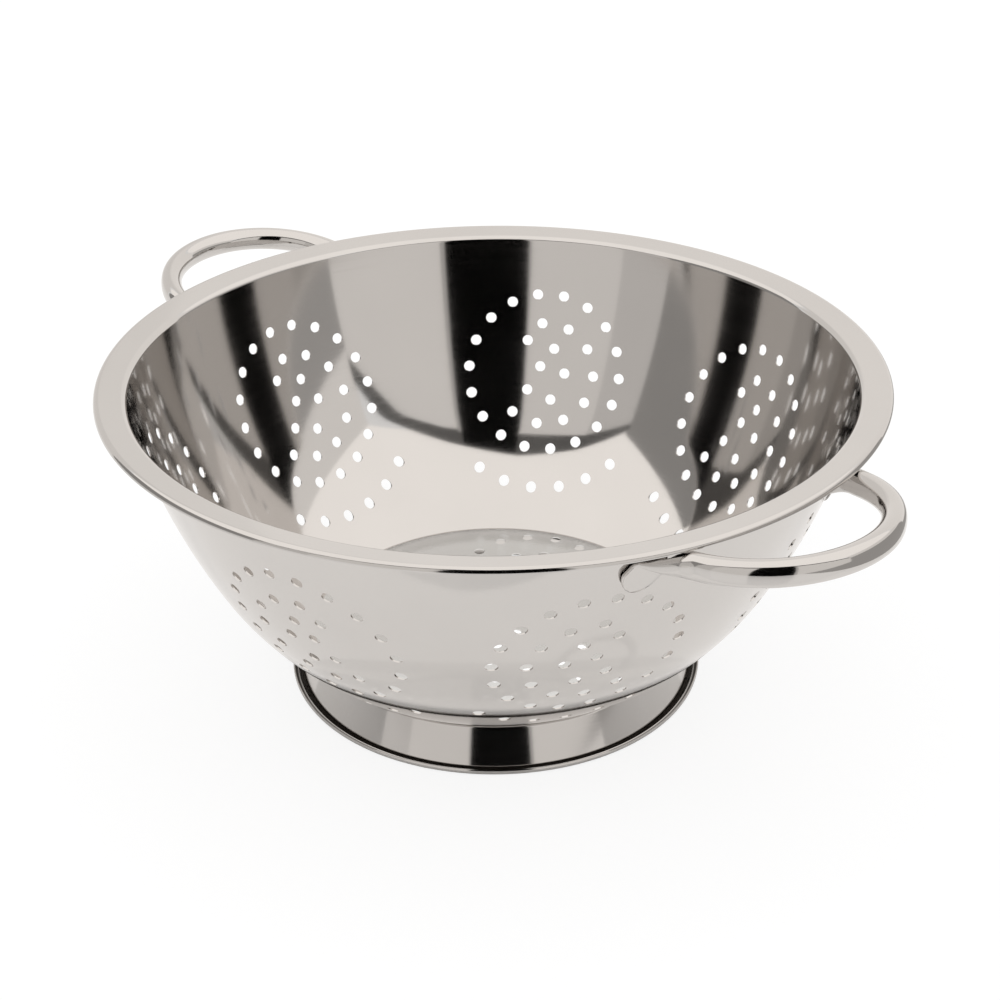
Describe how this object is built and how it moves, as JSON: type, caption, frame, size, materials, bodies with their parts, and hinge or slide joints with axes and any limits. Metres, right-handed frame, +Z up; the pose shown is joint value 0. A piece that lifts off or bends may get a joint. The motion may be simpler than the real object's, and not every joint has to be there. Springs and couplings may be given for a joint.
{
  "type": "colander",
  "caption": "Stainless steel colander: a deep round bowl with punched drain-hole clusters, a flat flanged rim, a flared foot ring and tube loop handles on both sides.",
  "frame": {"origin": "on the table under the middle of the foot ring", "axes": "+Z up along the bowl's axis, +X out along the handles, towards the one that is nearer in the picture"},
  "size_m": [0.3226, 0.26, 0.1152],
  "materials": {
    "polished_steel": "mirror-polished stainless steel",
    "weld_steel": "bare welded stainless steel"
  },
  "bodies": {
    "root": {"bowl": "polished_steel", "foot_ring": "polished_steel", "right_handle": "polished_steel", "left_handle": "polished_steel", "handle_spot_welds": "weld_steel", "foot_spot_welds": "weld_steel"}
  },
  "joints": []
}
